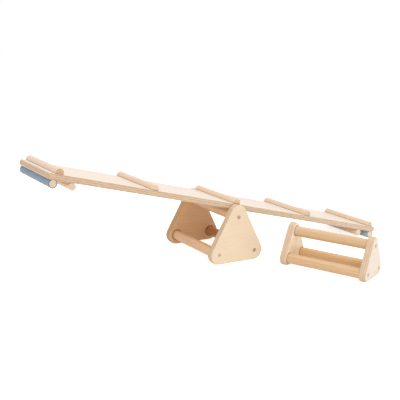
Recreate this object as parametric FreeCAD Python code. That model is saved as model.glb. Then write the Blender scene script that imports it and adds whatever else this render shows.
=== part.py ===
import FreeCAD, Part
import math
import os

# A children's balance set in wood. A plank with half-round treads rocks on a tall triangular stand, and a
# lower stand of the same width stands beside it. Lengths are in millimetres and angles in degrees.

# Plank: a plywood board with rounded arrises and ends rounded over further.
plank_length = 1200.0
plank_width = 218.0
plank_thickness = 18.0
plank_arris_radius = 3.0
plank_corner_extra = 4.0
plank_end_round_share = 0.4

# Treads: dowels planed flat and fixed across the top of the plank.
rung_count = 5
rung_radius = 12.0
rung_height = 15.0
rung_side_inset = 0.8
end_rung_setback = 29.0
rung_end_chamfer = 0.8

# Dowels under the plank: a hook and a stop at each end.
dowel_radius = 10.0
dowel_flat_depth = 0.5
dowel_side_inset = 0.5
dowel_end_chamfer = 0.8
hook_setback = 17.6
stop_setback = 72.0

# Rubber sleeve round each hook dowel, open along its top where the dowel meets the plank.
sleeve_wall = 1.8
sleeve_fit = 0.1
sleeve_end_setback = 0.8

# Stands: two plates and three rods each, with the plank running between the plates.
plank_side_gap = 3.5
plate_thickness = 21.0
plate_arris_radius = 3.0
rod_radius = 15.0
rod_fit = 0.2
rod_socket_depth = 8.0

# Tall stand: its corners are rounded about the rods, the fulcrum rod lying below the top corner's middle.
tall_rod_spacing = 126.0
tall_rod_rise = 108.2
tall_corner_margin = 13.5
tall_foot_rod_lift = 0.7
tall_top_rod_drop = 7.7

# Low stand: the same shape, smaller, turned and set down beside the plank.
low_rod_spacing = 84.5
low_rod_rise = 74.5
low_corner_margin = 5.5
low_foot_rod_lift = 0.8
low_top_rod_drop = 4.7
low_stand_x = 208.0
low_stand_y = -310.0
low_stand_turn = 24.6

# Fulcrum: the plank clears the top rod, and a half-round bead under the plank runs on each side of it.
fulcrum_plank_gap = 2.5
cradle_radius = 7.0
cradle_flat_depth = 5.0
cradle_length_share = 0.34
cradle_running_gap = 0.3

# Screws with countersunk heads and hexagon sockets: long ones in the stands, short ones in the plank.
stand_screw_head_radius = 5.5
stand_screw_shank_radius = 3.0
stand_screw_length = 50.0
stand_screw_hex_radius = 2.4
stand_screw_hex_depth = 2.6
plank_screw_head_radius = 4.0
plank_screw_shank_radius = 2.0
rung_screw_bite = 9.0
dowel_screw_bite = 9.5
plank_screw_hex_radius = 1.5
plank_screw_hex_depth = 1.6
screw_tip_radius = 0.6
screw_fit = 0.1
screw_head_sink = 0.4
rung_screw_side_setback = 38.0
end_rung_screw_shift = 4.5
dowel_screw_side_setback = 24.0
cradle_screw_reach_share = 0.26

# Reach of every cut beyond the face that it opens.
cut_overrun = 5.0

Vector = FreeCAD.Vector
along_x = Vector(1, 0, 0)
along_y = Vector(0, 1, 0)
along_z = Vector(0, 0, 1)

# Places worked out from the sizes above.
half_length = plank_length / 2
half_width = plank_width / 2
inner_width = plank_width + 2 * plank_side_gap
stand_width = inner_width + 2 * plate_thickness
rod_length = inner_width + 2 * rod_socket_depth
dowel_length = plank_width - 2 * dowel_side_inset
dowel_axis_depth = dowel_radius - dowel_flat_depth
sleeve_radius = dowel_radius + sleeve_fit + sleeve_wall
plank_corner_radius = plank_arris_radius + plank_corner_extra
plank_end_radius = plank_end_round_share * plank_thickness

# The fulcrum's height, its depth under the plank and the place of the two cradle beads beside it.
fulcrum_height = rod_radius + tall_corner_margin + tall_foot_rod_lift + tall_rod_rise
fulcrum_depth = rod_radius + fulcrum_plank_gap
cradle_length = cradle_length_share * plank_width
cradle_axis_depth = cradle_radius - cradle_flat_depth
cradle_reach = rod_radius + cradle_radius + cradle_running_gap
cradle_offset = math.sqrt(cradle_reach ** 2 - (fulcrum_depth - cradle_axis_depth) ** 2)

# The tilt at which the sleeve of the lower hook just meets the floor.
hook_along = half_length - hook_setback
hook_above_fulcrum = fulcrum_depth - dowel_axis_depth
hook_arm = math.hypot(hook_along, hook_above_fulcrum)
hook_drop = fulcrum_height - sleeve_radius
plank_tilt = math.degrees(math.asin(hook_drop / hook_arm) + math.atan2(hook_above_fulcrum, hook_along))


def bar_along_y(radius, length, end_chamfer=0):
    """A round bar along Y with its middle at the origin."""
    bar = Part.makeCylinder(radius, length, Vector(0, -length / 2, 0), along_y)
    if end_chamfer:
        rims = [edge for edge in bar.Edges if isinstance(edge.Curve, Part.Circle)]
        bar = bar.makeChamfer(end_chamfer, rims)
    return bar


def block_above(height, reach_x, reach_y, reach_z):
    """A block that fills the space above a height, for cutting flats."""
    corner = Vector(-reach_x, -reach_y / 2 - cut_overrun, height)
    return Part.makeBox(2 * reach_x, reach_y + 2 * cut_overrun, reach_z, corner)


def moved(shape, x, y, z):
    """A copy of a shape, moved."""
    copy = shape.copy()
    copy.translate(Vector(x, y, z))
    return copy


def hexagon_prism(radius, height):
    """A hexagonal prism that rises from the origin."""
    corners = [Vector(radius * math.cos(turn * math.pi / 3), radius * math.sin(turn * math.pi / 3), 0)
               for turn in range(7)]
    return Part.Face(Part.makePolygon(corners)).extrude(Vector(0, 0, height))


def screw(head_radius, shank_radius, length, hex_radius, hex_depth):
    """A countersunk screw that points up, with the top of its head at the origin."""
    head_height = head_radius - shank_radius
    tip_height = shank_radius - screw_tip_radius
    head = Part.makeCone(head_radius, shank_radius, head_height)
    shank = Part.makeCylinder(shank_radius, length - head_height - tip_height, Vector(0, 0, head_height))
    tip = Part.makeCone(shank_radius, screw_tip_radius, tip_height, Vector(0, 0, length - tip_height))
    return head.fuse([shank, tip]).removeSplitter().cut(hexagon_prism(hex_radius, hex_depth))


def screw_hole(head_radius, shank_radius, length):
    """The hole for such a screw, open below its head."""
    head_height = head_radius - shank_radius
    wide = head_radius + screw_fit
    narrow = shank_radius + screw_fit
    head = Part.makeCone(wide, narrow, head_height)
    shank = Part.makeCylinder(narrow, length + screw_fit)
    mouth = Part.makeCylinder(wide, cut_overrun, Vector(0, 0, -cut_overrun))
    return head.fuse([shank, mouth])


def stand_screw():
    """One long screw, pointing up."""
    return screw(stand_screw_head_radius, stand_screw_shank_radius, stand_screw_length,
                 stand_screw_hex_radius, stand_screw_hex_depth)


def stand_screw_hole():
    """The hole for one long screw."""
    return screw_hole(stand_screw_head_radius, stand_screw_shank_radius, stand_screw_length)


def plank_screw(length):
    """One short screw, pointing up."""
    return screw(plank_screw_head_radius, plank_screw_shank_radius, length,
                 plank_screw_hex_radius, plank_screw_hex_depth)


def plank_screw_hole(length):
    """The hole for one short screw."""
    return screw_hole(plank_screw_head_radius, plank_screw_shank_radius, length)


def rounded_triangle(half_base, top_height, corner_radius):
    """An upright face on the floor: a triangle with three equal rounded corners, in the plane Y = 0."""
    side = math.hypot(half_base, top_height - 2 * corner_radius)
    out_x = corner_radius * (top_height - 2 * corner_radius) / side
    out_z = corner_radius * half_base / side
    top_centre = top_height - corner_radius
    mid_x = math.sqrt((1 + out_z / corner_radius) / 2) * corner_radius
    foot_drop = math.sqrt((1 - out_z / corner_radius) / 2) * corner_radius
    right_foot = Vector(half_base, 0, 0)
    right_bend = Vector(half_base + mid_x, 0, corner_radius - foot_drop)
    right_side = Vector(half_base + out_x, 0, corner_radius + out_z)
    right_top = Vector(out_x, 0, top_centre + out_z)
    left_top = Vector(-out_x, 0, top_centre + out_z)
    left_side = Vector(-half_base - out_x, 0, corner_radius + out_z)
    left_bend = Vector(-half_base - mid_x, 0, corner_radius - foot_drop)
    left_foot = Vector(-half_base, 0, 0)
    outline = [
        Part.LineSegment(left_foot, right_foot),
        Part.Arc(right_foot, right_bend, right_side),
        Part.LineSegment(right_side, right_top),
        Part.Arc(right_top, Vector(0, 0, top_height), left_top),
        Part.LineSegment(left_top, left_side),
        Part.Arc(left_side, left_bend, left_foot),
    ]
    return Part.Face(Part.Wire([piece.toShape() for piece in outline]))


def stand(rod_spacing, rod_rise, corner_margin, foot_rod_lift, top_rod_drop):
    """A stand in its own frame, on the floor, with its rods along Y: its pieces by name."""
    half_base = rod_spacing / 2
    corner_radius = rod_radius + corner_margin
    foot_rod_height = corner_radius + foot_rod_lift
    top_rod_height = foot_rod_height + rod_rise
    top_height = top_rod_height + top_rod_drop + corner_radius
    rod_places = {
        "top_rod": (0, top_rod_height),
        "left_rod": (-half_base, foot_rod_height),
        "right_rod": (half_base, foot_rod_height),
    }
    front_face = -stand_width / 2
    head_face = front_face + screw_head_sink

    outline = rounded_triangle(half_base, top_height, corner_radius)
    front = outline.extrude(Vector(0, plate_thickness, 0))
    rims = [edge for edge in front.Edges if edge.BoundBox.YLength < plate_arris_radius]
    front = front.makeFillet(plate_arris_radius, rims)
    front.translate(Vector(0, front_face, 0))
    socket_bar = bar_along_y(rod_radius + rod_fit, rod_length)
    blank_rod = bar_along_y(rod_radius, rod_length)
    front_screw = stand_screw()
    front_screw.rotate(Vector(0, 0, 0), along_x, -90)
    front_hole = stand_screw_hole()
    front_hole.rotate(Vector(0, 0, 0), along_x, -90)

    pieces = {}
    screws = []
    for name, (x, z) in rod_places.items():
        hole = moved(front_hole, x, head_face, z)
        far_hole = hole.mirror(Vector(0, 0, 0), along_y)
        near_screw = moved(front_screw, x, head_face, z)
        front = front.cut([moved(socket_bar, x, 0, z), hole])
        pieces[name] = moved(blank_rod, x, 0, z).cut([hole, far_hole])
        screws += [near_screw, near_screw.mirror(Vector(0, 0, 0), along_y)]
    pieces["front_plate"] = front
    pieces["rear_plate"] = front.mirror(Vector(0, 0, 0), along_y)
    pieces["stand_screws"] = Part.makeCompound(screws)
    return pieces


def flatted_bar(radius, axis_depth, length):
    """A bar along Y whose planed top lies on the plane Z = 0."""
    bar = moved(bar_along_y(radius, length, dowel_end_chamfer), 0, 0, -axis_depth)
    return bar.cut(block_above(0, radius, length, radius))


def sleeve():
    """A sleeve round the hook dowel, open along its top at the plane Z = 0."""
    length = dowel_length - 2 * sleeve_end_setback
    tube = bar_along_y(sleeve_radius, length)
    tube = tube.cut(bar_along_y(dowel_radius + sleeve_fit, length + 2 * cut_overrun))
    tube = moved(tube, 0, 0, -dowel_axis_depth)
    return tube.cut(block_above(0, sleeve_radius, length, sleeve_radius))


def tread_rung():
    """A tread along Y whose planed underside lies on the plane Z = 0."""
    length = plank_width - 2 * rung_side_inset
    bar = moved(bar_along_y(rung_radius, length, rung_end_chamfer), 0, 0, rung_height - rung_radius)
    below = block_above(-2 * rung_radius, rung_radius, length, 2 * rung_radius)
    return bar.cut(below)


def board():
    """The plank before drilling, with its underside on the plane Z = 0."""
    corner = Vector(-half_length, -half_width, 0)
    blank = Part.makeBox(plank_length, plank_width, plank_thickness, corner)
    end_edges = [edge for edge in blank.Edges if edge.BoundBox.YLength > plank_width / 2]
    rolled = blank.makeFillet(plank_end_radius, end_edges)
    uprights = [edge for edge in blank.Edges if edge.BoundBox.ZLength > plank_thickness / 2]
    cornered = blank.makeFillet(plank_corner_radius, uprights)
    rims = [edge for edge in cornered.Edges if edge.BoundBox.ZLength < plank_thickness / 2]
    return cornered.makeFillet(plank_arris_radius, rims).common(rolled)


def plank_assembly():
    """The plank and all that is fixed to it, level, with the plank's underside on the plane Z = 0."""
    plank = board()
    pieces = {}

    rung_screws = []
    rung_screw_length = plank_thickness - screw_head_sink + rung_screw_bite
    rung_pitch = (plank_length - 2 * end_rung_setback) / (rung_count - 1)
    rung_screw_reach = half_width - rung_screw_side_setback
    for number in range(rung_count):
        place = end_rung_setback - half_length + number * rung_pitch
        rung = moved(tread_rung(), place, 0, plank_thickness)
        shift = {0: end_rung_screw_shift, rung_count - 1: -end_rung_screw_shift}.get(number, 0)
        screw_place = place + shift
        for y in (-rung_screw_reach, rung_screw_reach):
            hole = moved(plank_screw_hole(rung_screw_length), screw_place, y, screw_head_sink)
            plank = plank.cut(hole)
            rung = rung.cut(hole)
            rung_screws.append(moved(plank_screw(rung_screw_length), screw_place, y, screw_head_sink))
        pieces[f"tread_rung_{number + 1}"] = rung

    dowel_screws = []
    dowel = (dowel_radius, dowel_axis_depth, dowel_length, half_width - dowel_screw_side_setback)
    bead = (cradle_radius, cradle_axis_depth, cradle_length, cradle_screw_reach_share * cradle_length)
    stop_along = half_length - stop_setback
    bar_plan = {
        "left_hook_rod": (-hook_along, dowel),
        "left_stop_rod": (-stop_along, dowel),
        "cradle_bead_left": (-cradle_offset, bead),
        "cradle_bead_right": (cradle_offset, bead),
        "right_stop_rod": (stop_along, dowel),
        "right_hook_rod": (hook_along, dowel),
    }
    for name, (place, (radius, axis_depth, length, screw_reach)) in bar_plan.items():
        bar = moved(flatted_bar(radius, axis_depth, length), place, 0, 0)
        head_place = plank_screw_head_radius - plank_screw_shank_radius - axis_depth - radius
        screw_length = dowel_screw_bite - head_place
        for y in (-screw_reach, screw_reach):
            hole = moved(plank_screw_hole(screw_length), place, y, head_place)
            plank = plank.cut(hole)
            bar = bar.cut(hole)
            dowel_screws.append(moved(plank_screw(screw_length), place, y, head_place))
        pieces[name] = bar

    pieces["left_hook_sleeve"] = moved(sleeve(), -hook_along, 0, 0)
    pieces["right_hook_sleeve"] = moved(sleeve(), hook_along, 0, 0)
    pieces["plank"] = plank
    pieces["rung_screws"] = Part.makeCompound(rung_screws)
    pieces["dowel_screws"] = Part.makeCompound(dowel_screws)
    return pieces


def whole_set():
    """All pieces in place: the plank tilted onto its lower hook, the low stand beside it."""
    pieces = {}
    for name, shape in plank_assembly().items():
        shape.translate(Vector(0, 0, fulcrum_depth))
        shape.rotate(Vector(0, 0, 0), along_y, plank_tilt)
        shape.translate(Vector(0, 0, fulcrum_height))
        pieces[name] = shape
    tall_stand = stand(tall_rod_spacing, tall_rod_rise, tall_corner_margin, tall_foot_rod_lift,
                       tall_top_rod_drop)
    for name, shape in tall_stand.items():
        pieces["tall_" + name] = shape
    low_stand = stand(low_rod_spacing, low_rod_rise, low_corner_margin, low_foot_rod_lift, low_top_rod_drop)
    for name, shape in low_stand.items():
        shape.rotate(Vector(0, 0, 0), along_z, low_stand_turn)
        shape.translate(Vector(low_stand_x, low_stand_y, 0))
        pieces["low_" + name] = shape
    return pieces


def floor_middle(pieces):
    """The point on the floor under the middle of the whole set."""
    box = Part.makeCompound(list(pieces.values())).optimalBoundingBox(False)
    return Vector(box.Center.x, box.Center.y, 0)


def main():
    """Write each piece, with the origin on the floor under the middle of the set."""
    pieces = whole_set()
    middle = floor_middle(pieces)
    os.makedirs("parts", exist_ok=True)
    for name, shape in pieces.items():
        shape.translate(-middle)
        shape.exportStep(f"parts/{name}.step")
    print(f"{len(pieces)} pieces, tilt {plank_tilt:.3f} degrees, origin moved by {-middle}")


main()
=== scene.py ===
import logging
import math
from dataclasses import dataclass, replace
from enum import Enum
from typing import Any

import bpy
from mathutils import Euler, Matrix, Vector


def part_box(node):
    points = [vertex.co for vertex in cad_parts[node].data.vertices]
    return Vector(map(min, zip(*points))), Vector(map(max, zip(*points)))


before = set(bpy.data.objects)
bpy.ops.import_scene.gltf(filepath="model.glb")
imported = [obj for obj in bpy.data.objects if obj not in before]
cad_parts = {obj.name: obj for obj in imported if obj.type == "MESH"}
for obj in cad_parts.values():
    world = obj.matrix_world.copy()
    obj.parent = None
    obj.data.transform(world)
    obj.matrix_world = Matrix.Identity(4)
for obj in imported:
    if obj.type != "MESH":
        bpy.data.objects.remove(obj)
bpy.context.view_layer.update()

log = logging.getLogger("balance_plank")

# Metres in a millimetre: every size below is in millimetres unless its name says otherwise.
MM = 0.001

# The shared frame's directions across the plank and upwards.
ACROSS = Vector((0, 1, 0))
UP = Vector((0, 0, 1))

# The photograph is square, so a size in its pixels is a share of this width.
PHOTO_WIDTH_PX = 400
SENSOR_WIDTH_MM = 36.0

# The sRGB curve: a straight foot up to the knee, and a power above it.
SRGB_KNEE = 0.04045
SRGB_FOOT = 12.92
SRGB_LIFT = 0.055
SRGB_POWER = 2.4

# The Mix node has the sockets of every data type side by side. These belong to a mix of colours.
SHARE, UNDER, OVER, MIXED = 0, 6, 7, 2

# Factors that drop one axis of a place on a piece.
WITHOUT_X = (0, 1, 1)
WITHOUT_Z = (1, 1, 0)

# A ping-pong over half a step gives how far a number is from the nearest whole one.
HALF_STEP = 0.5

# How much varnish and rubber bend light.
VARNISH_IOR = 1.5
RUBBER_IOR = 1.52


class StandSize(Enum):
    """The two stands, by the first word of their pieces' names."""

    TALL = "tall"
    LOW = "low"


class Sight(Enum):
    """The rays that see the backdrop's own white, and not the light that it gives."""

    CAMERA = "Is Camera Ray"
    GLOSSY = "Is Glossy Ray"
    TRANSMISSION = "Is Transmission Ray"


def linear(hex_colour: str) -> tuple[float, float, float, float]:
    """Turn an sRGB hex colour into a linear one.

    Args:
        hex_colour: Six hexadecimal digits after a hash sign.

    Returns:
        Red, green, blue and an alpha of 1.
    """
    shares = [int(hex_colour[place:place + 2], 16) / 255 for place in (1, 3, 5)]
    curved = [share / SRGB_FOOT if share <= SRGB_KNEE
              else ((share + SRGB_LIFT) / (1 + SRGB_LIFT)) ** SRGB_POWER for share in shares]
    return (curved[0], curved[1], curved[2], 1.0)


def add(tree: bpy.types.NodeTree, kind: str, feeds: dict[int | str, Any] | None = None,
        **settings: Any) -> bpy.types.Node:
    """Add a node, set it up and link what feeds it.

    Args:
        tree: The node tree that gets the node.
        kind: The node's type, without the words ShaderNode.
        feeds: For each input, by number or name, the value or the output that feeds it.
        settings: The node's own settings.

    Returns:
        The new node.
    """
    node = tree.nodes.new("ShaderNode" + kind)
    for name, value in settings.items():
        setattr(node, name, value)
    for place, source in (feeds or {}).items():
        if isinstance(source, bpy.types.NodeSocket):
            tree.links.new(source, node.inputs[place])
        else:
            node.inputs[place].default_value = source
    return node


def empty_material(name: str) -> tuple[bpy.types.Material, bpy.types.NodeTree]:
    """Make a material with no nodes.

    Args:
        name: The material's name.

    Returns:
        The material and its node tree.
    """
    material = bpy.data.materials.new(name)
    material.use_nodes = True
    material.node_tree.nodes.clear()
    return material, material.node_tree


def box_middle(node: str) -> Vector:
    """The middle of a CAD node's box, in metres."""
    low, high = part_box(node)
    return (low + high) / 2


def lowest(node: str, direction: Vector) -> float:
    """How far a CAD node's lowest point lies along a direction, in metres."""
    return min(vertex.co.dot(direction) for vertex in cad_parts[node].data.vertices)


def clouds(tree: bpy.types.NodeTree, place: bpy.types.NodeSocket, size: tuple[float, float, float],
           detail: float) -> bpy.types.NodeSocket:
    """Make a cloudy pattern, drawn out by its own length along each axis.

    Args:
        tree: The material's node tree.
        place: The place on the piece, with the grain along X, in millimetres.
        size: The usual size of a cloud along each axis, in millimetres.
        detail: How many finer clouds lie in each.

    Returns:
        An output from 0 to 1.
    """
    stretch = add(tree, "VectorMath", {0: place, 1: tuple(1 / width for width in size)}, operation="MULTIPLY")
    cloud = add(tree, "TexNoise", {"Vector": stretch.outputs[0], "Scale": 1.0, "Detail": detail})
    return cloud.outputs["Fac"]


@dataclass(frozen=True)
class Relief:
    """A finish's fine relief: its depth in millimetres, and the share of it that shows."""

    depth: float
    strength: float


def close_surface(tree: bpy.types.NodeTree, colour: bpy.types.NodeSocket, roughness: bpy.types.NodeSocket,
                  height: bpy.types.NodeSocket, relief: Relief, constants: dict[str, float]) -> None:
    """End a material with its surface.

    Args:
        tree: The material's node tree.
        colour: The surface's colour.
        roughness: The surface's roughness.
        height: The pattern that the relief follows.
        relief: The finish's fine relief.
        constants: The shader's other values, which are the same all over the surface.
    """
    bump = add(tree, "Bump", {"Height": height, "Strength": relief.strength, "Distance": relief.depth * MM})
    surface = add(tree, "BsdfPrincipled", {"Base Color": colour, "Roughness": roughness,
                                           "Normal": bump.outputs[0], **constants})
    add(tree, "OutputMaterial", {"Surface": surface.outputs[0]})


@dataclass(frozen=True)
class Lie:
    """How a piece lies: its middle in metres, the way its grain runs and the way its flat side faces."""

    middle: Vector
    grain: Vector
    facing: Vector

    def across(self) -> Vector:
        """The direction across the grain."""
        return self.facing.cross(self.grain)

    def turn(self) -> Euler:
        """The turn that takes the X axis to the grain and the Z axis to the facing side."""
        return Matrix((self.grain, self.across(), self.facing)).transposed().to_euler()

    def spot(self, point: Vector) -> Vector:
        """Where a point lies along and across the grain, in millimetres from the middle."""
        offset = (point - self.middle) / MM
        return Vector((offset.dot(self.grain), offset.dot(self.across()), 0))

    def coordinates(self, tree: bpy.types.NodeTree) -> bpy.types.NodeSocket:
        """Give a place on the piece in its own millimetres, so that the pattern moves with the piece.

        Args:
            tree: The material's node tree.

        Returns:
            An output with the place along the grain, across it and towards the facing side.
        """
        place = add(tree, "TexCoord").outputs["Object"]
        feeds = {"Vector": place, "Location": self.middle, "Rotation": self.turn(), "Scale": (MM, MM, MM)}
        return add(tree, "Mapping", feeds, vector_type="TEXTURE").outputs["Vector"]

    def towards(self, tree: bpy.types.NodeTree, direction: Vector) -> bpy.types.NodeSocket:
        """Tell how squarely the surface faces a direction of the resting piece.

        Args:
            tree: The material's node tree.
            direction: A unit direction in the shared frame at rest.

        Returns:
            An output that is 1 where the surface faces the direction, 0 along it and -1 where it faces away.
        """
        normal = add(tree, "NewGeometry").outputs["Normal"]
        own = add(tree, "VectorTransform", {"Vector": normal}, vector_type="NORMAL", convert_from="WORLD",
                  convert_to="OBJECT")
        dot = add(tree, "VectorMath", {0: own.outputs[0], 1: direction}, operation="DOT_PRODUCT")
        return dot.outputs["Value"]

    def cut_across(self, tree: bpy.types.NodeTree, start: float, full: float) -> bpy.types.NodeSocket:
        """Tell the ends, where the grain is cut across, from the sides.

        Args:
            tree: The material's node tree.
            start: How squarely a surface faces along the grain where it starts to count as an end.
            full: How squarely it does where it is wholly an end.

        Returns:
            An output that is 0 on the sides and 1 on the ends.
        """
        endwise = add(tree, "Math", {0: self.towards(tree, self.grain)}, operation="ABSOLUTE")
        cut = add(tree, "MapRange", {"Value": endwise.outputs[0], "From Min": start, "From Max": full})
        return cut.outputs[0]


@dataclass(frozen=True)
class Seats:
    """Where shade is painted round rods entering a board's inner face and screws' heads in its outer face."""

    rods: tuple[Vector, ...] = ()
    heads: tuple[Vector, ...] = ()
    rod_radius: float = 0.0
    head_radius: float = 0.0


@dataclass(frozen=True)
class Veneer:
    """The two tones between which the figure of a face veneer drifts."""

    pale: str
    warm: str


@dataclass(frozen=True)
class BirchPlywood:
    """Birch plywood, sanded and sealed with clear satin varnish.

    The rotary-cut face veneers are pale, with a soft drawn-out figure and short brown flecks, and the paler
    one is turned outwards; where the inner one is warmer, that is partly painted orange light bounced between
    the wooden parts. The sanded edges show the plies as faint bands, where plies that run along the edge are
    pale and those cut across break up into brown dashes, with fine brown glue lines between them.
    """

    outer: Veneer
    inner: Veneer
    ply_along: str
    ply_across: str
    glue: str
    fleck: str
    plies: int
    thickness: float
    # The tint of the edges at the board's near end, if they have one, which fades to none at its far end.
    near_tint: str | None = None
    fade_length: float = 1200.0
    figure_length: float = 260.0
    figure_width: float = 24.0
    figure_bands: float = 6.0
    fibre_length: float = 26.0
    fibre_width: float = 1.1
    # The fibres' share in the figure, and the values up to which the face is pale and from which it is warm.
    fibre_share: float = 0.7
    pale_up_to: float = 0.3
    warm_from: float = 0.95
    fleck_length: float = 6.0
    fleck_width: float = 0.7
    # The values of the pattern at which a fleck starts and is full, and how dark it then is.
    fleck_from: float = 0.66
    fleck_full: float = 0.78
    fleck_strength: float = 0.3
    # The share of a face veneer's thickness that is sanded off.
    sanded_share: float = 0.25
    dash_length: float = 16.0
    dash_from: float = 0.38
    dash_full: float = 0.62
    dash_least: float = 0.2
    edge_fibre_share: float = 0.3
    # A glue line is a tenth of a millimetre, too fine to show, so it is drawn four times as wide.
    glue_line: float = 0.4
    glue_core_share: float = 0.2
    # The painted shade of the gap round a rod and a screw's head where they enter the board. The gap is a
    # hair wide, and its painted shade is drawn wider so that it shows.
    rod_line: float = 2.4
    head_line: float = 0.8
    seat_core_share: float = 0.5
    seat_strength: float = 0.8
    seat_painted_shade: str = "#5A3A20"
    # How squarely a surface faces along the grain where the plies change places, and how squarely it faces
    # outwards where it is still edge, where it is already face, and where it counts as the inner face.
    end_from: float = 0.45
    end_full: float = 0.75
    edge_up_to: float = 0.72
    face_from: float = 0.95
    inside_below: float = -0.9
    roughness: float = 0.42
    sheen_drift: float = 0.07
    relief: Relief = Relief(depth=0.03, strength=0.5)

    def veneer(self, tree: bpy.types.NodeTree, place: bpy.types.NodeSocket, fibres: bpy.types.NodeSocket,
               outward: bpy.types.NodeSocket) -> bpy.types.NodeSocket:
        """Colour the two faces.

        Args:
            tree: The material's node tree.
            place: The place on the board, in millimetres.
            fibres: The fine pattern of the wood's fibres.
            outward: How squarely the surface faces outwards.

        Returns:
            An output with the colour.
        """
        cloud = clouds(tree, place, (self.figure_length, self.figure_width, self.figure_width), detail=2.0)
        bands = add(tree, "Math", {0: cloud, 1: self.figure_bands}, operation="MULTIPLY")
        figure = add(tree, "Math", {0: bands.outputs[0], 1: HALF_STEP}, operation="PINGPONG")
        warmth = add(tree, "Math", {0: fibres, 1: self.fibre_share, 2: figure.outputs[0]},
                     operation="MULTIPLY_ADD")
        share = add(tree, "MapRange", {"Value": warmth.outputs[0], "From Min": self.pale_up_to,
                                       "From Max": self.warm_from})
        tones = [add(tree, "Mix", {SHARE: share.outputs[0], UNDER: linear(side.pale),
                                   OVER: linear(side.warm)}, data_type="RGBA").outputs[MIXED]
                 for side in (self.inner, self.outer)]
        out = add(tree, "Math", {0: outward, 1: 0.0}, operation="GREATER_THAN")
        face = add(tree, "Mix", {SHARE: out.outputs[0], UNDER: tones[0], OVER: tones[1]}, data_type="RGBA")
        spots = clouds(tree, place, (self.fleck_length, self.fleck_width, self.fleck_width), detail=1.0)
        dark = add(tree, "MapRange", {"Value": spots, "From Min": self.fleck_from,
                                      "From Max": self.fleck_full, "To Max": self.fleck_strength})
        flecked = add(tree, "Mix", {SHARE: dark.outputs[0], UNDER: face.outputs[MIXED],
                                    OVER: linear(self.fleck)}, data_type="RGBA")
        return flecked.outputs[MIXED]

    def edge(self, tree: bpy.types.NodeTree, place: bpy.types.NodeSocket, fibres: bpy.types.NodeSocket,
             lie: Lie) -> bpy.types.NodeSocket:
        """Colour the sanded edges, ply by ply.

        Args:
            tree: The material's node tree.
            place: The place on the board, in millimetres.
            fibres: The fine pattern of the wood's fibres.
            lie: How the board lies.

        Returns:
            An output with the colour.
        """
        half = self.thickness / 2
        height = add(tree, "SeparateXYZ", {0: place}).outputs["Z"]
        layers = add(tree, "MapRange", {"Value": height, "From Min": -half, "From Max": half,
                                        "To Min": self.sanded_share,
                                        "To Max": self.plies - self.sanded_share}).outputs[0]
        layer = add(tree, "Math", {0: layers}, operation="FLOOR")
        odd = add(tree, "Math", {0: layer.outputs[0], 1: 2.0}, operation="MODULO")
        cut = lie.cut_across(tree, self.end_from, self.end_full)
        swapped = add(tree, "Math", {0: odd.outputs[0], 1: cut}, operation="SUBTRACT")
        crossed = add(tree, "Math", {0: swapped.outputs[0]}, operation="ABSOLUTE")
        ply = self.thickness / self.plies
        dashes = clouds(tree, place, (self.dash_length, self.dash_length, ply), detail=2.0)
        broken = add(tree, "MapRange", {"Value": dashes, "From Min": self.dash_from,
                                        "From Max": self.dash_full, "To Min": self.dash_least})
        share = add(tree, "Math", {0: crossed.outputs[0], 1: broken.outputs[0]}, operation="MULTIPLY")
        soaked = add(tree, "Math", {0: fibres, 1: self.edge_fibre_share, 2: share.outputs[0]},
                     operation="MULTIPLY_ADD")
        bands = add(tree, "Mix", {SHARE: soaked.outputs[0], UNDER: linear(self.ply_along),
                                  OVER: linear(self.ply_across)}, data_type="RGBA")
        seam = add(tree, "Math", {0: layers, 1: HALF_STEP}, operation="PINGPONG")
        line = self.glue_line / ply
        glued = add(tree, "MapRange", {"Value": seam.outputs[0], "From Min": line,
                                       "From Max": self.glue_core_share * line})
        edge = add(tree, "Mix", {SHARE: glued.outputs[0], UNDER: bands.outputs[MIXED],
                                 OVER: linear(self.glue)}, data_type="RGBA")
        return self.fade(tree, place, edge.outputs[MIXED])

    def fade(self, tree: bpy.types.NodeTree, place: bpy.types.NodeSocket,
             colour: bpy.types.NodeSocket) -> bpy.types.NodeSocket:
        """Tint the edges at the near end of the board, less and less towards its far end.

        Args:
            tree: The material's node tree.
            place: The place on the board, in millimetres.
            colour: The edges' colour so far.

        Returns:
            An output with the colour, which is left as it is where the board has no such tint.
        """
        if self.near_tint is None:
            return colour
        along = add(tree, "SeparateXYZ", {0: place}).outputs["X"]
        half = self.fade_length / 2
        near = add(tree, "MapRange", {"Value": along, "From Min": half, "From Max": -half})
        return add(tree, "Mix", {SHARE: near.outputs[0], UNDER: colour, OVER: linear(self.near_tint)},
                   data_type="RGBA", blend_type="MULTIPLY").outputs[MIXED]

    def shade_seats(self, tree: bpy.types.NodeTree, place: bpy.types.NodeSocket, colour: bpy.types.NodeSocket,
                    spots: tuple[Vector, ...], radius: float, line: float) -> bpy.types.NodeSocket:
        """Paint the shade in the gap round each rod or screw that enters a face.

        Args:
            tree: The material's node tree.
            place: The place on the board, in millimetres.
            colour: The face's colour so far.
            spots: The middle of each rod or screw, in the board's millimetres.
            radius: The radius of the rods or of the screws' heads.
            line: The line's width.

        Returns:
            An output with the colour.
        """
        flat = add(tree, "VectorMath", {0: place, 1: WITHOUT_Z}, operation="MULTIPLY").outputs[0]
        for spot in spots:
            away = add(tree, "VectorMath", {0: flat, 1: spot}, operation="DISTANCE").outputs["Value"]
            dark = add(tree, "MapRange", {"Value": away, "From Min": radius + line,
                                          "From Max": radius + self.seat_core_share * line,
                                          "To Max": self.seat_strength})
            colour = add(tree, "Mix", {SHARE: dark.outputs[0], UNDER: colour, OVER: linear(self.seat_painted_shade)},
                         data_type="RGBA").outputs[MIXED]
        return colour

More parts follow.
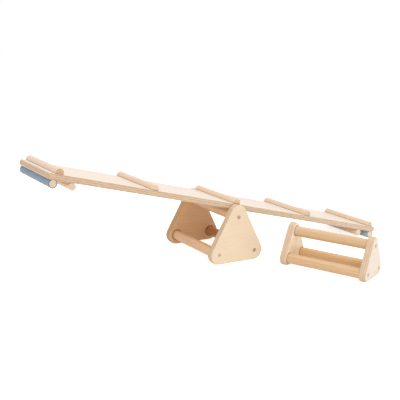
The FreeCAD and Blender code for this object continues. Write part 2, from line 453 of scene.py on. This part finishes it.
    def material(self, name: str, lie: Lie, seats: Seats = Seats()) -> bpy.types.Material:
        """Make the plywood of one board.

        Args:
            name: The material's name.
            lie: How the board lies, with its facing side square to the plies.
            seats: The rods and screws that enter the board, if any.

        Returns:
            The material.
        """
        material, tree = empty_material(name)
        place = lie.coordinates(tree)
        outward = lie.towards(tree, lie.facing)
        fibres = clouds(tree, place, (self.fibre_length, self.fibre_width, self.fibre_width), detail=2.0)
        veneer = self.veneer(tree, place, fibres, outward)
        rods = self.shade_seats(tree, place, veneer, seats.rods, seats.rod_radius, self.rod_line)
        heads = self.shade_seats(tree, place, veneer, seats.heads, seats.head_radius, self.head_line)
        inside = add(tree, "Math", {0: outward, 1: self.inside_below}, operation="LESS_THAN")
        faces = add(tree, "Mix", {SHARE: inside.outputs[0], UNDER: heads, OVER: rods}, data_type="RGBA")
        edge = self.edge(tree, place, fibres, lie)
        square = add(tree, "Math", {0: outward}, operation="ABSOLUTE")
        flat = add(tree, "MapRange", {"Value": square.outputs[0], "From Min": self.edge_up_to,
                                      "From Max": self.face_from})
        colour = add(tree, "Mix", {SHARE: flat.outputs[0], UNDER: edge, OVER: faces.outputs[MIXED]},
                     data_type="RGBA")
        sheen = add(tree, "MapRange", {"Value": fibres, "To Min": self.roughness - self.sheen_drift,
                                       "To Max": self.roughness + self.sheen_drift})
        close_surface(tree, colour.outputs[MIXED], sheen.outputs[0], fibres, self.relief,
                      {"IOR": VARNISH_IOR})
        return material


@dataclass(frozen=True)
class TurnedBeech:
    """Beech dowel, turned, sanded and varnished.

    Straight growth lines run along its sides, with the short brown flecks of the wood's rays among them. Cut
    ends show the growth rings as arcs, and are duller because they drink the varnish. Shade is painted as a
    dark line in the seam where the dowel is fixed to a board.
    """

    pale: str
    warm: str
    fleck: str
    cut_end: str
    ring_spacing: float = 2.4
    ring_wander: float = 3.0
    # How sharply a ring ends, and how much the late wood of a ring adds to the warmth and to an end's shade.
    ring_sharpness: float = 2.5
    ring_share: float = 0.35
    # How far along the tree the next grain is taken for each millimetre that the tree's middle lies off.
    tree_step: float = 7.0
    streak_length: float = 240.0
    streak_width: float = 9.0
    # The values of the grain up to which it is pale and from which warm.
    pale_up_to: float = 0.3
    warm_from: float = 0.95
    # Ray flecks are two or three millimetres long, and are drawn half as large again so that they show.
    fleck_length: float = 4.5
    fleck_width: float = 0.9
    # The values of the pattern at which a fleck starts and is full, and how dark it then is.
    fleck_from: float = 0.58
    fleck_full: float = 0.72
    fleck_strength: float = 0.45
    # How squarely a surface faces along the grain where it starts to be a cut end, and where it wholly is.
    end_from: float = 0.6
    end_full: float = 0.9
    # The seam's painted shade: the seam is a hair wide, and its shade is drawn wider so that it shows.
    seam_line: float = 2.0
    seam_strength: float = 0.9
    seam_painted_shade: str = "#8A5F3E"
    roughness: float = 0.44
    end_dullness: float = 0.2
    relief: Relief = Relief(depth=0.04, strength=0.5)

    def rings(self, tree: bpy.types.NodeTree, place: bpy.types.NodeSocket, streaks: bpy.types.NodeSocket,
              pith: Vector) -> bpy.types.NodeSocket:
        """Draw the growth rings, each fading in and ending sharply.

        Args:
            tree: The material's node tree.
            place: The place on the dowel, in millimetres.
            streaks: The slow pattern that makes the rings wander.
            pith: The middle of the tree, in the dowel's millimetres.

        Returns:
            An output that is 0 in early wood and 1 in late wood.
        """
        away = add(tree, "VectorMath", {0: place, 1: pith}, operation="SUBTRACT")
        round_pith = add(tree, "VectorMath", {0: away.outputs[0], 1: WITHOUT_X}, operation="MULTIPLY")
        radius = add(tree, "VectorMath", {0: round_pith.outputs[0]}, operation="LENGTH")
        wandered = add(tree, "Math", {0: streaks, 1: self.ring_wander, 2: radius.outputs["Value"]},
                       operation="MULTIPLY_ADD")
        year = add(tree, "Math", {0: wandered.outputs[0], 1: self.ring_spacing}, operation="DIVIDE")
        season = add(tree, "Math", {0: year.outputs[0]}, operation="FRACT")
        return add(tree, "Math", {0: season.outputs[0], 1: self.ring_sharpness}, operation="POWER").outputs[0]

    def shade_seam(self, tree: bpy.types.NodeTree, place: bpy.types.NodeSocket, colour: bpy.types.NodeSocket,
                   seam: float) -> bpy.types.NodeSocket:
        """Paint the shade in the seam as a dark line.

        Args:
            tree: The material's node tree.
            place: The place on the dowel, in its millimetres.
            colour: The dowel's colour so far.
            seam: The seam's height on the dowel, in millimetres.

        Returns:
            An output with the colour.
        """
        height = add(tree, "SeparateXYZ", {0: place}).outputs["Z"]
        dark = add(tree, "MapRange", {"Value": height, "From Min": seam + self.seam_line, "From Max": seam,
                                      "To Max": self.seam_strength})
        return add(tree, "Mix", {SHARE: dark.outputs[0], UNDER: colour, OVER: linear(self.seam_painted_shade)},
                   data_type="RGBA").outputs[MIXED]

    def material(self, name: str, lie: Lie, pith: Vector, seam: float | None = None) -> bpy.types.Material:
        """Make the beech of one dowel.

        Args:
            name: The material's name.
            lie: How the dowel lies, with its grain along its axis.
            pith: The middle of the tree, in the dowel's millimetres.
            seam: The height on the dowel of the seam with a board under it, if it has one, in millimetres.

        Returns:
            The material.
        """
        material, tree = empty_material(name)
        own = lie.coordinates(tree)
        # Each dowel takes the grain from its own part of the tree.
        part = (self.tree_step * pith.y, 0, 0)
        place = add(tree, "VectorMath", {0: own, 1: part}, operation="ADD").outputs[0]
        streaks = clouds(tree, place, (self.streak_length, self.streak_width, self.streak_width), detail=3.0)
        late = self.rings(tree, place, streaks, pith)
        warmth = add(tree, "Math", {0: late, 1: self.ring_share, 2: streaks}, operation="MULTIPLY_ADD")
        share = add(tree, "MapRange", {"Value": warmth.outputs[0], "From Min": self.pale_up_to,
                                       "From Max": self.warm_from})
        long_grain = add(tree, "Mix", {SHARE: share.outputs[0], UNDER: linear(self.pale),
                                       OVER: linear(self.warm)}, data_type="RGBA")
        ringed = add(tree, "Math", {0: late, 1: self.ring_share}, operation="MULTIPLY")
        end_grain = add(tree, "Mix", {SHARE: ringed.outputs[0], UNDER: linear(self.cut_end),
                                      OVER: linear(self.fleck)}, data_type="RGBA")
        cut = lie.cut_across(tree, self.end_from, self.end_full)
        wood = add(tree, "Mix", {SHARE: cut, UNDER: long_grain.outputs[MIXED],
                                 OVER: end_grain.outputs[MIXED]}, data_type="RGBA")
        spots = clouds(tree, place, (self.fleck_length, self.fleck_width, self.fleck_width), detail=1.0)
        flecks = add(tree, "MapRange", {"Value": spots, "From Min": self.fleck_from,
                                        "From Max": self.fleck_full, "To Max": self.fleck_strength})
        colour = add(tree, "Mix", {SHARE: flecks.outputs[0], UNDER: wood.outputs[MIXED],
                                   OVER: linear(self.fleck)}, data_type="RGBA").outputs[MIXED]
        if seam is not None:
            colour = self.shade_seam(tree, own, colour, seam)
        sheen = add(tree, "MapRange", {"Value": cut, "To Min": self.roughness,
                                       "To Max": self.roughness + self.end_dullness})
        close_surface(tree, colour, sheen.outputs[0], spots, self.relief, {"IOR": VARNISH_IOR})
        return material


@dataclass(frozen=True)
class SleeveRubber:
    """Extruded blue-grey rubber tube: dull and faintly mottled, with fine die lines and painted shade on its
    cut ends.
    """

    body: str
    chalk: str
    # The cut ends' dark colour is painted shade.
    cut_end: str
    mottle_length: float = 28.0
    mottle_width: float = 14.0
    # The values of the mottle at which the chalky bloom starts and is full.
    bloom_from: float = 0.35
    bloom_full: float = 0.75
    die_line_length: float = 40.0
    # Die lines are a few hundredths of a millimetre wide, and are drawn coarser so that they show.
    die_line_width: float = 0.8
    # How squarely a surface faces along the tube where it starts to be a cut end, and where it wholly is.
    end_from: float = 0.6
    end_full: float = 0.9
    roughness: float = 0.62
    sheen_drift: float = 0.08
    relief: Relief = Relief(depth=0.05, strength=0.4)

    def material(self, name: str, lie: Lie) -> bpy.types.Material:
        """Make the rubber of one sleeve.

        Args:
            name: The material's name.
            lie: How the sleeve lies, with its grain along its axis.

        Returns:
            The material.
        """
        material, tree = empty_material(name)
        place = lie.coordinates(tree)
        cloud = clouds(tree, place, (self.mottle_length, self.mottle_width, self.mottle_width), detail=4.0)
        bloom = add(tree, "MapRange", {"Value": cloud, "From Min": self.bloom_from,
                                       "From Max": self.bloom_full})
        skin = add(tree, "Mix", {SHARE: bloom.outputs[0], UNDER: linear(self.body), OVER: linear(self.chalk)},
                   data_type="RGBA")
        cut = lie.cut_across(tree, self.end_from, self.end_full)
        colour = add(tree, "Mix", {SHARE: cut, UNDER: skin.outputs[MIXED], OVER: linear(self.cut_end)},
                     data_type="RGBA")
        sheen = add(tree, "MapRange", {"Value": cloud, "To Min": self.roughness - self.sheen_drift,
                                       "To Max": self.roughness + self.sheen_drift})
        lines = clouds(tree, place, (self.die_line_length, self.die_line_width, self.die_line_width),
                       detail=1.0)
        close_surface(tree, colour.outputs[MIXED], sheen.outputs[0], lines, self.relief, {"IOR": RUBBER_IOR})
        return material


@dataclass(frozen=True)
class ZincPlatedSteel:
    """Steel screw, cold-headed and zinc plated: a cool grey metal with a soft, cloudy gleam."""

    bright: str
    dull: str
    cloud: float = 2.5
    # The values of the clouds up to which the plating is bright and from which dull.
    bright_up_to: float = 0.3
    dull_from: float = 0.7
    roughness: float = 0.34
    sheen_drift: float = 0.1
    relief: Relief = Relief(depth=0.02, strength=0.4)

    def material(self, name: str) -> bpy.types.Material:
        """Make the steel of a set of screws.

        Args:
            name: The material's name.

        Returns:
            The material.
        """
        material, tree = empty_material(name)
        place = add(tree, "TexCoord").outputs["Object"]
        noise = add(tree, "TexNoise", {"Vector": place, "Scale": 1 / (self.cloud * MM), "Detail": 3.0})
        cloud = noise.outputs["Fac"]
        share = add(tree, "MapRange", {"Value": cloud, "From Min": self.bright_up_to,
                                       "From Max": self.dull_from})
        colour = add(tree, "Mix", {SHARE: share.outputs[0], UNDER: linear(self.bright),
                                   OVER: linear(self.dull)}, data_type="RGBA")
        sheen = add(tree, "MapRange", {"Value": cloud, "To Min": self.roughness - self.sheen_drift,
                                       "To Max": self.roughness + self.sheen_drift})
        close_surface(tree, colour.outputs[MIXED], sheen.outputs[0], cloud, self.relief, {"Metallic": 1.0})
        return material


BOARD_VENEER = Veneer(pale="#ECDBCB", warm="#E6D3C1")
# The plank's edges are tinted darker towards the left end, and not at all at the right end, which rests on
# the floor.
PLANK_PLYWOOD = BirchPlywood(outer=BOARD_VENEER, inner=BOARD_VENEER, ply_along="#E9D6C0",
                             ply_across="#CCAE91", glue="#B79876", fleck="#C39C77", plies=7, thickness=18.0,
                             near_tint="#EDE4DA")
# The plates' warmer inner veneers are partly their own tone and partly painted orange bounce light.
TALL_PLYWOOD = BirchPlywood(outer=Veneer(pale="#E9D5B9", warm="#E5CFB2"),
                            inner=Veneer(pale="#F5CC9F", warm="#EFC395"),
                            ply_along="#DDC5AB", ply_across="#CBAC8D", glue="#B8956F", fleck="#C39C77",
                            plies=7, thickness=21.0)
LOW_PLYWOOD = replace(TALL_PLYWOOD, outer=Veneer(pale="#E6D9CA", warm="#E1D1C0"),
                      inner=Veneer(pale="#F9E4C7", warm="#F1D9B7"))
PLATE_PLYWOOD = {
    "tall_front_plate": TALL_PLYWOOD,
    # This plate's plies are painted browner as the plank's shade, and the shade round its rods is painted
    # widest.
    "tall_rear_plate": replace(TALL_PLYWOOD, ply_along="#CBA679", ply_across="#B78E61", rod_line=3.6),
    "low_front_plate": LOW_PLYWOOD,
    "low_rear_plate": LOW_PLYWOOD,
}
TREAD_BEECH = TurnedBeech(pale="#E6CFB7", warm="#DDBD9E", fleck="#C8A27D", cut_end="#E0C8AE")
# The first tread is a shade pinker, and its cut end took up the most varnish and shows ochre.
FIRST_TREAD_BEECH = replace(TREAD_BEECH, pale="#EBD5C4", warm="#E2C3A9", cut_end="#C6A67D")
# This beech is paler than the other beech, partly its own tone and partly painted light against the shade
# under the plank.
DOWEL_BEECH = TurnedBeech(pale="#FBE1C7", warm="#F2CEAB", fleck="#C39D78", cut_end="#D8C3AC")
# At the end on the floor the dowels' cut ends have painted light: they are made paler against the shade
# there.
LIGHT_PAINTED_DOWEL_BEECH = replace(DOWEL_BEECH, cut_end="#EDDDC8")
ROD_BEECH = TurnedBeech(pale="#EECBA3", warm="#E3B689", fleck="#B98A5B", cut_end="#D3AB7C")
# The low stand's rods are a shade browner.
LOW_ROD_BEECH = replace(ROD_BEECH, pale="#D9BA93", warm="#CEA478")
STAND_BEECH = {StandSize.TALL: ROD_BEECH, StandSize.LOW: LOW_ROD_BEECH}
# One rod is painted darker and redder as the shade and orange bounce light it lies in, and one is a shade
# more golden than the rest.
SHADE_PAINTED_ROD_BEECH = TurnedBeech(pale="#D79D6C", warm="#C28554", fleck="#9C6335", cut_end="#B98350")
GOLDEN_BEECH = replace(LOW_ROD_BEECH, pale="#E3C08F", warm="#D8A974")
ROD_BEECH_APART = {"tall_right_rod": SHADE_PAINTED_ROD_BEECH, "low_right_rod": GOLDEN_BEECH}
HOOK_RUBBER = SleeveRubber(body="#7B92A7", chalk="#91A4B4", cut_end="#4A5764")
# The sleeve at the end on the floor has painted light: it is made paler against the shade it lies in.
LIGHT_PAINTED_RUBBER = replace(HOOK_RUBBER, body="#ABC0D0", chalk="#C8D7E0")
SCREW_STEEL = ZincPlatedSteel(bright="#D2C0B2", dull="#A69083")


def dress(node: str, material: bpy.types.Material) -> None:
    """Put a material on all of a CAD node.

    Args:
        node: The node's name.
        material: The material.
    """
    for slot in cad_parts[node].material_slots:
        slot.material = material
    log.info("%s wears %s", node, material.name)


@dataclass
class Plank:
    """The rocking plank with its treads, hooks, cradle and screws."""

    tread_count: int = 5
    dowels: tuple[str, ...] = ("left_hook_rod", "left_stop_rod", "cradle_bead_left", "cradle_bead_right",
                               "right_stop_rod", "right_hook_rod")
    sleeves: tuple[str, ...] = ("left_hook_sleeve", "right_hook_sleeve")
    screws: tuple[str, ...] = ("rung_screws", "dowel_screws")
    # The pieces at this end get finishes with painted light, made paler against the shade there.
    floor_end: str = "right"
    # The tree's middle lies by a step further from each next dowel, so that no two show the same grain.
    pith_start: Vector = Vector((0, -46, 31))
    pith_step: Vector = Vector((0, 6, 4))

    def treads(self) -> list[str]:
        """The treads' names from the left end to the right."""
        return [f"tread_rung_{number}" for number in range(1, self.tread_count + 1)]

    def along(self) -> Vector:
        """The direction from the left end to the right end, read from the first and last treads."""
        names = self.treads()
        return (box_middle(names[-1]) - box_middle(names[0])).normalized()

    def lie(self, node: str, grain: Vector) -> Lie:
        """How one of the plank's pieces lies, with the given grain."""
        return Lie(box_middle(node), grain, self.along().cross(ACROSS))

    def pith(self, number: int) -> Vector:
        """Where the tree's middle lay from the dowel of that number, by turns on either side."""
        place = self.pith_start + self.pith_step * number
        return -place if number % 2 else place

    def dress(self) -> None:
        """Give every piece of the plank its finish."""
        dress("plank", PLANK_PLYWOOD.material("birch_plywood_plank", self.lie("plank", self.along())))
        for number, node in enumerate(self.treads()):
            beech = TREAD_BEECH if number else FIRST_TREAD_BEECH
            lie = self.lie(node, ACROSS)
            seam = (lowest(node, lie.facing) - lie.middle.dot(lie.facing)) / MM
            dress(node, beech.material(f"beech_{node}", lie, self.pith(number), seam))
        for number, node in enumerate(self.dowels):
            beech = LIGHT_PAINTED_DOWEL_BEECH if node.startswith(self.floor_end) else DOWEL_BEECH
            dress(node, beech.material(f"beech_{node}", self.lie(node, ACROSS), self.pith(number)))
        for node in self.sleeves:
            rubber = LIGHT_PAINTED_RUBBER if node.startswith(self.floor_end) else HOOK_RUBBER
            dress(node, rubber.material(f"rubber_{node}", self.lie(node, ACROSS)))
        steel = SCREW_STEEL.material("zinc_plated_plank_screws")
        for node in self.screws:
            dress(node, steel)


@dataclass
class TriangleStand:
    """A stand of two plywood plates, three beech rods and six screws."""

    size: StandSize
    rods: tuple[str, ...] = ("top_rod", "left_rod", "right_rod")
    # This rod's seat gets no painted shade.
    unshaded_seat_rod: str = "tall_top_rod"
    # Where the tree's middle lay from each rod.
    piths: tuple[Vector, ...] = (Vector((0, 44, 20)), Vector((0, -38, 33)), Vector((0, 29, -47)))

    def node(self, piece: str) -> str:
        """The name of one of this stand's pieces."""
        return f"{self.size.value}_{piece}"

    def forward(self) -> Vector:
        """The direction from the rear plate to the front plate."""
        return (box_middle(self.node("front_plate")) - box_middle(self.node("rear_plate"))).normalized()

    def rod_radius(self) -> float:
        """The rods' radius in millimetres, read from the height of the top rod's box."""
        low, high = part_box(self.node("top_rod"))
        return (high.z - low.z) / 2 / MM

    def head_radius(self) -> float:
        """The screw heads' radius in millimetres, read from how far they reach below the left rod's axis."""
        return (box_middle(self.node("left_rod")).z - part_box(self.node("stand_screws"))[0].z) / MM

    def dress_plate(self, piece: str, outward: Vector) -> None:
        """Give a plate its plywood, with the paler veneer outwards and painted bounce light in the warmer
        inner one.

        Args:
            piece: The plate's name without the stand's.
            outward: The direction away from the other plate.
        """
        node = self.node(piece)
        lie = Lie(box_middle(node), UP.cross(outward), outward)
        spots = {self.node(rod): lie.spot(box_middle(self.node(rod))) for rod in self.rods}
        lined = tuple(spot for rod, spot in spots.items() if rod != self.unshaded_seat_rod)
        seats = Seats(lined, tuple(spots.values()), self.rod_radius(), self.head_radius())
        dress(node, PLATE_PLYWOOD[node].material(f"birch_plywood_{node}", lie, seats))

    def dress(self) -> None:
        """Give every piece of the stand its finish."""
        forward = self.forward()
        self.dress_plate("front_plate", forward)
        self.dress_plate("rear_plate", -forward)
        for rod, pith in zip(self.rods, self.piths):
            node = self.node(rod)
            beech = ROD_BEECH_APART.get(node, STAND_BEECH[self.size])
            dress(node, beech.material(f"beech_{node}", Lie(box_middle(node), forward, UP), pith))
        dress(self.node("stand_screws"), SCREW_STEEL.material(f"zinc_plated_{self.node('screws')}"))


@dataclass(frozen=True)
class SoftBox:
    """A square soft box that points at the set."""

    name: str
    place_m: tuple[float, float, float]
    width_m: float
    power: float

    def hang(self, aim: Vector) -> None:
        """Hang the soft box.

        Args:
            aim: The point that it faces, in metres.
        """
        lamp = bpy.data.lights.new(self.name, "AREA")
        lamp.size = self.width_m
        lamp.energy = self.power
        holder = bpy.data.objects.new(self.name, lamp)
        holder.location = self.place_m
        holder.rotation_mode = "QUATERNION"
        holder.rotation_quaternion = (aim - Vector(self.place_m)).to_track_quat("-Z", "Y")
        bpy.context.scene.collection.objects.link(holder)


@dataclass
class Studio:
    """A pale sweep under an even white sky, with soft boxes in front and overhead."""

    floor_half_width_m: float = 12.0
    floor_tone: str = "#EFEAE3"
    floor_glow: float = 0.76
    sky_tone: str = "#FFFFFF"
    # How strong the sky is as a light, and how strong it looks.
    sky_strength: float = 0.69
    sky_sight: float = 1.0
    aim_m: tuple[float, float, float] = (0.0, 0.0, 0.1)
    boxes: tuple[SoftBox, ...] = (SoftBox("left_softbox", (-1.9, -1.8, 2.2), 1.6, 14.0),
                                  SoftBox("middle_softbox", (-0.6, -2.2, 2.2), 1.6, 12.0),
                                  SoftBox("right_softbox", (1.6, -1.9, 2.2), 1.6, 14.0),
                                  SoftBox("low_softbox", (-1.8, -2.7, 0.8), 1.3, 7.0),
                                  SoftBox("top_softbox", (0.0, 0.2, 2.5), 1.8, 15.0))

    def backdrop_sight(self, tree: bpy.types.NodeTree) -> bpy.types.NodeSocket:
        """Tell the rays that see the backdrop from those that it lights.

        Args:
            tree: The node tree of the floor or the world.

        Returns:
            An output that is 1 for the rays that see it, and 0 for the rest.
        """
        path = add(tree, "LightPath")
        seen = path.outputs[Sight.CAMERA.value]
        for sight in (Sight.GLOSSY, Sight.TRANSMISSION):
            seen = add(tree, "Math", {0: seen, 1: path.outputs[sight.value]}, operation="MAXIMUM").outputs[0]
        return seen

    def lay_floor(self) -> None:
        """Lay a wide pale floor that shows white and keeps a soft shadow."""
        half = self.floor_half_width_m
        mesh = bpy.data.meshes.new("studio_floor")
        corners = [(-half, -half, 0), (half, -half, 0), (half, half, 0), (-half, half, 0)]
        mesh.from_pydata(corners, [], [(0, 1, 2, 3)])
        floor = bpy.data.objects.new("studio_floor", mesh)
        bpy.context.scene.collection.objects.link(floor)
        material, tree = empty_material("pale_sweep")
        paper = add(tree, "BsdfDiffuse", {"Color": linear(self.floor_tone)})
        glow = add(tree, "Math", {0: self.backdrop_sight(tree), 1: self.floor_glow}, operation="MULTIPLY")
        shine = add(tree, "Emission", {"Strength": glow.outputs[0]})
        both = add(tree, "AddShader", {0: paper.outputs[0], 1: shine.outputs[0]})
        add(tree, "OutputMaterial", {"Surface": both.outputs[0]})
        mesh.materials.append(material)

    def light_sky(self) -> None:
        """Surround the set with an even white that shows as white."""
        world = bpy.data.worlds.new("studio_sky")
        world.use_nodes = True
        tree = world.node_tree
        tree.nodes.clear()
        strength = add(tree, "MapRange", {"Value": self.backdrop_sight(tree), "To Min": self.sky_strength,
                                          "To Max": self.sky_sight})
        sky = add(tree, "Background", {"Color": linear(self.sky_tone), "Strength": strength.outputs[0]})
        add(tree, "OutputWorld", {"Surface": sky.outputs[0]})
        bpy.context.scene.world = world

    def build(self) -> None:
        """Set up the floor, the sky and the soft boxes."""
        self.lay_floor()
        self.light_sky()
        for box in self.boxes:
            box.hang(Vector(self.aim_m))


@dataclass
class PhotoCamera:
    """The camera at the photograph's place, worked out from the outline of the set in the photograph."""

    azimuth_deg: float = 32.727
    elevation_deg: float = 12.913
    roll_deg: float = 2.052
    distance: float = 2275.2
    focal_px: float = 754.36
    target: tuple[float, float, float] = (-67.27, 147.24, 170.09)

    def build(self) -> None:
        """Set up the camera and make it the scene's own."""
        turn, rise = math.radians(self.azimuth_deg), math.radians(self.elevation_deg)
        ahead = Vector((math.sin(turn) * math.cos(rise), math.cos(turn) * math.cos(rise), -math.sin(rise)))
        level = Vector((math.cos(turn), -math.sin(turn), 0))
        facing = Matrix((level, level.cross(ahead), -ahead)).transposed().to_4x4()
        roll = Matrix.Rotation(math.radians(self.roll_deg), 4, "Z")
        data = bpy.data.cameras.new("photo_camera")
        data.sensor_width = SENSOR_WIDTH_MM
        data.lens = self.focal_px / PHOTO_WIDTH_PX * SENSOR_WIDTH_MM
        camera = bpy.data.objects.new("photo_camera", data)
        place = (Vector(self.target) - ahead * self.distance) * MM
        camera.matrix_world = Matrix.Translation(place) @ facing @ roll
        bpy.context.scene.collection.objects.link(camera)
        bpy.context.scene.camera = camera


def main() -> None:
    """Dress the set, light it and point the camera at it."""
    logging.basicConfig(level=logging.INFO, format="%(name)s: %(message)s")
    Plank().dress()
    for size in StandSize:
        TriangleStand(size).dress()
    Studio().build()
    PhotoCamera().build()
    bpy.context.scene.view_settings.view_transform = "Standard"


if __name__ == "__main__":
    main()
